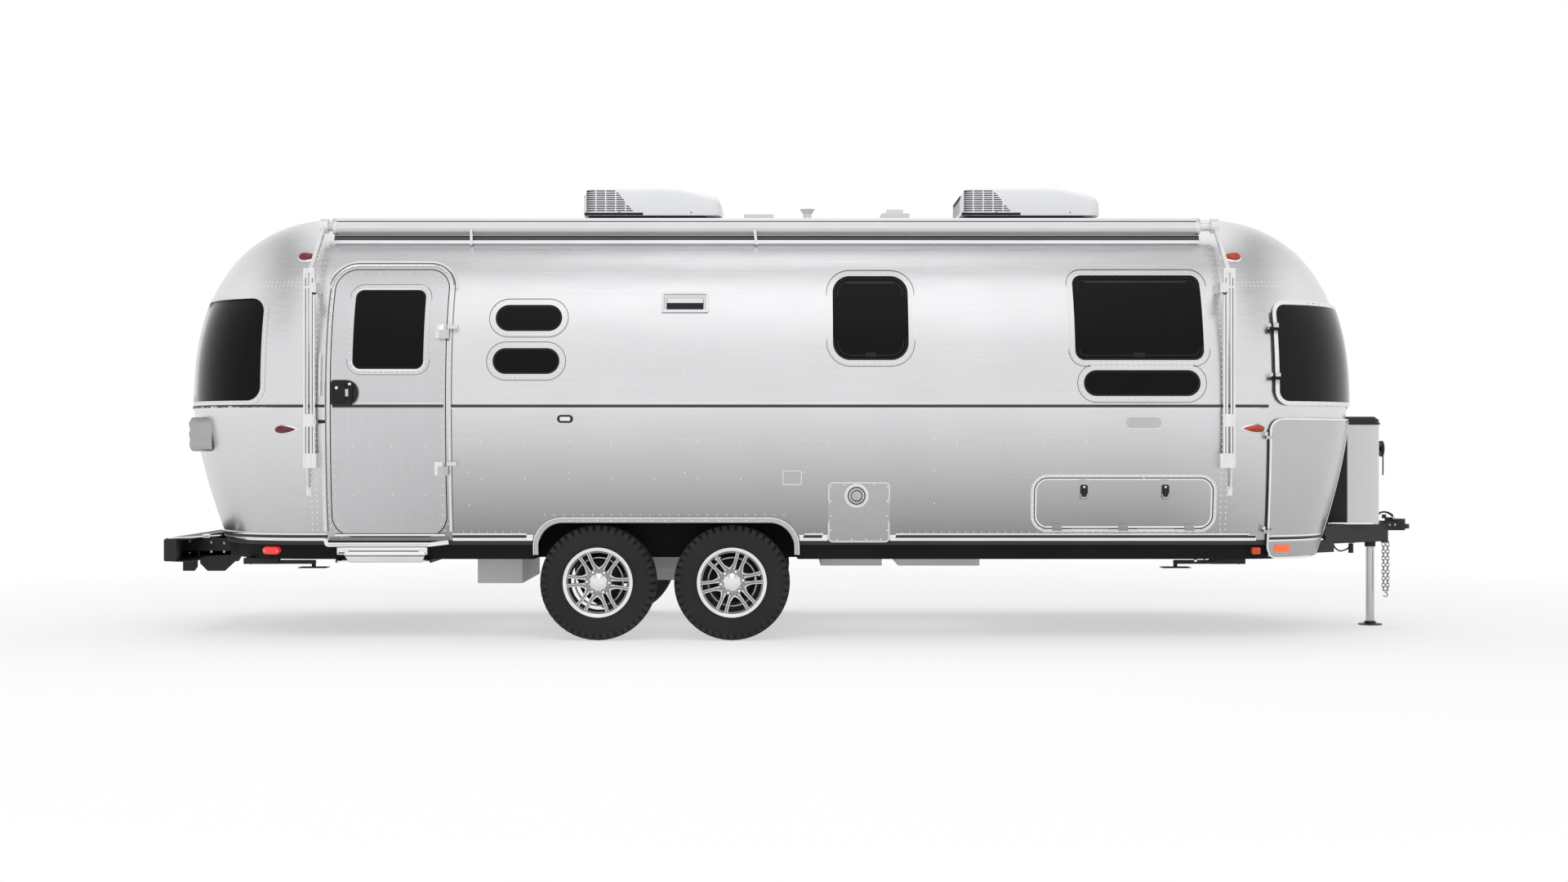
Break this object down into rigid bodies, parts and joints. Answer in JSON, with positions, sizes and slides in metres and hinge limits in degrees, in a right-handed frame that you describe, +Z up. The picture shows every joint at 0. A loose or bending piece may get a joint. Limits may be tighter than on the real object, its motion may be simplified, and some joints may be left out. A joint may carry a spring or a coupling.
{
  "type": "travel caravan",
  "caption": "Rounded riveted aluminium travel caravan on tandem axles, with an entry door, awning, roof air units, hitch, nose jack and stabilisers.",
  "frame": {"origin": "on the ground at mid-length on the centreline", "axes": "+X towards the hitch, +Y to the street side, -Y to the curb side with the entry door, +Z up"},
  "size_m": [8.24, 2.6727, 2.958],
  "materials": {
    "awning_metal": "clear anodised",
    "belly_black": "matt black coating",
    "bottle_white": "white enamel",
    "bright_trim": "polished extrusion",
    "bumper_black": "textured black",
    "chassis_black": "satin black paint",
    "cover_black": "black moulded",
    "cover_light": "light moulded cover",
    "deck_board": "sealed board",
    "galvanised": "zinc plated",
    "jack_chrome": "plated",
    "lamp_lens": "red and amber lenses",
    "rim_alloy": "machined alloy",
    "service_metal": "brushed",
    "shell_aluminium": "clear-coated mill finish",
    "smoked_glass": "dark smoked",
    "stainless": "brushed stainless",
    "step_aluminium": "ribbed extrusion",
    "tank_grey": "grey steel pan",
    "tyre": "black",
    "white_plastic": "white moulded"
  },
  "bodies": {
    "caravan_body": {"awning_arms": "awning_metal", "awning_roller": "awning_metal", "axles": "chassis_black", "belly_pan": "belly_black", "body_trim": "bright_trim", "chassis_frame": "chassis_black", "coupler": "chassis_black", "fixed_hinges": "bright_trim", "floor_deck": "deck_board", "front_cap_lower": "shell_aluminium", "front_cap_upper": "shell_aluminium", "gas_bottles": "bottle_white", "gas_cover": "cover_light", "jack_tube": "chassis_black", "lamps": "lamp_lens", "rear_bumper": "bumper_black", "rear_cap_lower": "shell_aluminium", "rear_cap_upper": "shell_aluminium", "roof_air_units": "white_plastic", "roof_panel": "shell_aluminium", "roof_vents": "white_plastic", "service_panels": "service_metal", "side_wall_curb": "shell_aluminium", "side_wall_street": "shell_aluminium", "tank_pans": "tank_grey", "tongue_frame": "chassis_black", "underfloor_brackets": "chassis_black", "wheel_wells": "belly_black", "window_frames": "bright_trim", "window_glass": "smoked_glass"},
    "wheel_front_curb": {"tyre_front_curb": "tyre", "rim_front_curb": "rim_alloy"},
    "wheel_front_street": {"tyre_front_street": "tyre", "rim_front_street": "rim_alloy"},
    "wheel_rear_curb": {"tyre_rear_curb": "tyre", "rim_rear_curb": "rim_alloy"},
    "wheel_rear_street": {"tyre_rear_street": "tyre", "rim_rear_street": "rim_alloy"},
    "entry_door": {"entry_door": "shell_aluminium", "entry_door_glass": "smoked_glass"},
    "hatch_curb": {"hatch_curb": "shell_aluminium"},
    "hatch_street": {"hatch_street": "shell_aluminium"},
    "window_guard_curb": {"window_guard_curb": "smoked_glass"},
    "window_guard_street": {"window_guard_street": "smoked_glass"},
    "corner_shield_curb": {"corner_shield_curb": "stainless"},
    "corner_shield_street": {"corner_shield_street": "stainless"},
    "gas_cover_lid": {"gas_cover_lid": "cover_black"},
    "jack_leg": {"jack_leg": "jack_chrome"},
    "step_tread": {"step_tread": "step_aluminium"},
    "stabiliser_leg_front_curb": {"stabiliser_leg_front_curb": "galvanised"},
    "stabiliser_foot_front_curb": {"stabiliser_foot_front_curb": "galvanised"},
    "stabiliser_leg_front_street": {"stabiliser_leg_front_street": "galvanised"},
    "stabiliser_foot_front_street": {"stabiliser_foot_front_street": "galvanised"},
    "stabiliser_leg_rear_curb": {"stabiliser_leg_rear_curb": "galvanised"},
    "stabiliser_foot_rear_curb": {"stabiliser_foot_rear_curb": "galvanised"},
    "stabiliser_leg_rear_street": {"stabiliser_leg_rear_street": "galvanised"},
    "stabiliser_foot_rear_street": {"stabiliser_foot_rear_street": "galvanised"}
  },
  "joints": [
    {"name": "wheel_spin_front_curb", "type": "hinge", "parent": "caravan_body", "child": "wheel_front_curb", "pos_m": [-0.488, -1.085, 0.366], "axis": [0, 1, 0], "continuous": true},
    {"name": "wheel_spin_front_street", "type": "hinge", "parent": "caravan_body", "child": "wheel_front_street", "pos_m": [-0.488, 1.085, 0.366], "axis": [0, 1, 0], "continuous": true},
    {"name": "wheel_spin_rear_curb", "type": "hinge", "parent": "caravan_body", "child": "wheel_rear_curb", "pos_m": [-1.332, -1.085, 0.366], "axis": [0, 1, 0], "continuous": true},
    {"name": "wheel_spin_rear_street", "type": "hinge", "parent": "caravan_body", "child": "wheel_rear_street", "pos_m": [-1.332, 1.085, 0.366], "axis": [0, 1, 0], "continuous": true},
    {"name": "entry_door_hinge", "type": "hinge", "parent": "caravan_body", "child": "entry_door", "pos_m": [-2.258, -1.30771, 1.085], "axis": [0, 0.0362, 0.9993], "range_deg": [0, 150]},
    {"name": "hatch_hinge_curb", "type": "hinge", "parent": "caravan_body", "child": "hatch_curb", "pos_m": [1.9655, -1.23189, 0.7], "axis": [1, 0, 0], "range_deg": [0, 120]},
    {"name": "window_guard_hinge_curb", "type": "hinge", "parent": "caravan_body", "child": "window_guard_curb", "pos_m": [2.882, -1.30502, 1.66], "axis": [0, -0.1676, -0.9859], "range_deg": [0, 95]},
    {"name": "corner_shield_hinge_curb", "type": "hinge", "parent": "caravan_body", "child": "corner_shield_curb", "pos_m": [2.85, -1.23571, 0.7], "axis": [0, 0.1201, -0.9928], "range_deg": [0, 95]},
    {"name": "hatch_hinge_street", "type": "hinge", "parent": "caravan_body", "child": "hatch_street", "pos_m": [1.9655, 1.23189, 0.7], "axis": [-1, 0, 0], "range_deg": [0, 120]},
    {"name": "window_guard_hinge_street", "type": "hinge", "parent": "caravan_body", "child": "window_guard_street", "pos_m": [2.882, 1.30502, 1.66], "axis": [0, -0.1676, 0.9859], "range_deg": [0, 95]},
    {"name": "corner_shield_hinge_street", "type": "hinge", "parent": "caravan_body", "child": "corner_shield_street", "pos_m": [2.85, 1.23571, 0.7], "axis": [0, 0.1201, 0.9928], "range_deg": [0, 95]},
    {"name": "gas_lid_hinge", "type": "hinge", "parent": "caravan_body", "child": "gas_cover_lid", "pos_m": [3.617, 0, 1.414], "axis": [0, -1, 0], "range_deg": [0, 75]},
    {"name": "jack_extend", "type": "slide", "parent": "caravan_body", "child": "jack_leg", "axis": [0, 0, 1], "range_m": [0, 0.38]},
    {"name": "step_slide", "type": "slide", "parent": "caravan_body", "child": "step_tread", "axis": [0, -1, 0], "range_m": [0, 0.28]},
    {"name": "stabiliser_swing_front_curb", "type": "hinge", "parent": "caravan_body", "child": "stabiliser_leg_front_curb", "pos_m": [2.733, -1.01, 0.487], "axis": [0, -1, 0], "range_deg": [0, 70]},
    {"name": "stabiliser_foot_level_front_curb", "type": "hinge", "parent": "stabiliser_leg_front_curb", "child": "stabiliser_foot_front_curb", "pos_m": [2.333, -1.01, 0.487], "axis": [0, -1, 0], "range_deg": [-70, 0]},
    {"name": "stabiliser_swing_front_street", "type": "hinge", "parent": "caravan_body", "child": "stabiliser_leg_front_street", "pos_m": [2.733, 1.01, 0.487], "axis": [0, -1, 0], "range_deg": [0, 70]},
    {"name": "stabiliser_foot_level_front_street", "type": "hinge", "parent": "stabiliser_leg_front_street", "child": "stabiliser_foot_front_street", "pos_m": [2.333, 1.01, 0.487], "axis": [0, -1, 0], "range_deg": [-70, 0]},
    {"name": "stabiliser_swing_rear_curb", "type": "hinge", "parent": "caravan_body", "child": "stabiliser_leg_rear_curb", "pos_m": [-3.555, -1.01, 0.487], "axis": [0, 1, 0], "range_deg": [0, 70]},
    {"name": "stabiliser_foot_level_rear_curb", "type": "hinge", "parent": "stabiliser_leg_rear_curb", "child": "stabiliser_foot_rear_curb", "pos_m": [-3.155, -1.01, 0.487], "axis": [0, 1, 0], "range_deg": [-70, 0]},
    {"name": "stabiliser_swing_rear_street", "type": "hinge", "parent": "caravan_body", "child": "stabiliser_leg_rear_street", "pos_m": [-3.555, 1.01, 0.487], "axis": [0, 1, 0], "range_deg": [0, 70]},
    {"name": "stabiliser_foot_level_rear_street", "type": "hinge", "parent": "stabiliser_leg_rear_street", "child": "stabiliser_foot_rear_street", "pos_m": [-3.155, 1.01, 0.487], "axis": [0, 1, 0], "range_deg": [-70, 0]}
  ],
  "couplings": [
    {"joint": "stabiliser_foot_level_front_curb", "follows": "stabiliser_swing_front_curb", "ratio": -1},
    {"joint": "stabiliser_foot_level_front_street", "follows": "stabiliser_swing_front_street", "ratio": -1},
    {"joint": "stabiliser_foot_level_rear_curb", "follows": "stabiliser_swing_rear_curb", "ratio": -1},
    {"joint": "stabiliser_foot_level_rear_street", "follows": "stabiliser_swing_rear_street", "ratio": -1}
  ]
}
